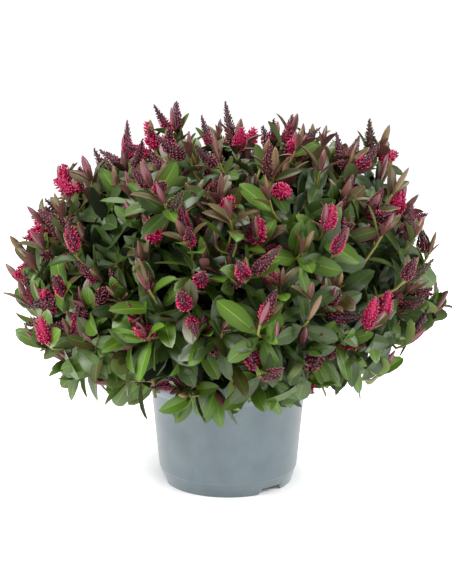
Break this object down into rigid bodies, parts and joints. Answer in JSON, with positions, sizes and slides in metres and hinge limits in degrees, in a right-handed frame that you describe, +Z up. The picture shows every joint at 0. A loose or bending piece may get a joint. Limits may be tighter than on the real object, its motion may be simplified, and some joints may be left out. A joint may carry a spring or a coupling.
{
  "type": "potted hebe shrub",
  "caption": "Round, dense evergreen flowering shrub with crimson flower spikes, standing in a plain round plastic nursery pot.",
  "frame": {"origin": "on the pot's axis at the flat underside that it stands on", "axes": "+Z up along the pot's axis, the front of the plant towards -Y, +X to the right seen from the front"},
  "size_m": [0.5919, 0.6047, 0.5129],
  "materials": {
    "pot_plastic": "moulded grey-blue polypropylene, satin",
    "compost": "moist bark and peat crumbs",
    "bark": "grey-brown bark",
    "bough_bark": "olive-brown young bark with leaf scars",
    "foliage": "glossy green leaves and crimson flower spikes"
  },
  "bodies": {
    "root": {"pot": "pot_plastic", "compost": "compost", "stem": "bark", "leader": "bough_bark", "foliage_top": "foliage", "bough_upper_1": "bough_bark", "foliage_upper_1": "foliage", "bough_upper_2": "bough_bark", "foliage_upper_2": "foliage", "bough_upper_3": "bough_bark", "foliage_upper_3": "foliage", "bough_upper_4": "bough_bark", "foliage_upper_4": "foliage", "bough_upper_5": "bough_bark", "foliage_upper_5": "foliage", "bough_middle_1": "bough_bark", "foliage_middle_1": "foliage", "bough_middle_2": "bough_bark", "foliage_middle_2": "foliage", "bough_middle_3": "bough_bark", "foliage_middle_3": "foliage", "bough_middle_4": "bough_bark", "foliage_middle_4": "foliage", "bough_middle_5": "bough_bark", "foliage_middle_5": "foliage", "bough_middle_6": "bough_bark", "foliage_middle_6": "foliage", "bough_middle_7": "bough_bark", "foliage_middle_7": "foliage", "bough_skirt_1": "bough_bark", "foliage_skirt_1": "foliage", "bough_skirt_2": "bough_bark", "foliage_skirt_2": "foliage", "bough_skirt_3": "bough_bark", "foliage_skirt_3": "foliage", "bough_skirt_4": "bough_bark", "foliage_skirt_4": "foliage", "bough_skirt_5": "bough_bark", "foliage_skirt_5": "foliage", "bough_skirt_6": "bough_bark", "foliage_skirt_6": "foliage", "bough_skirt_7": "bough_bark", "foliage_skirt_7": "foliage"}
  },
  "joints": []
}
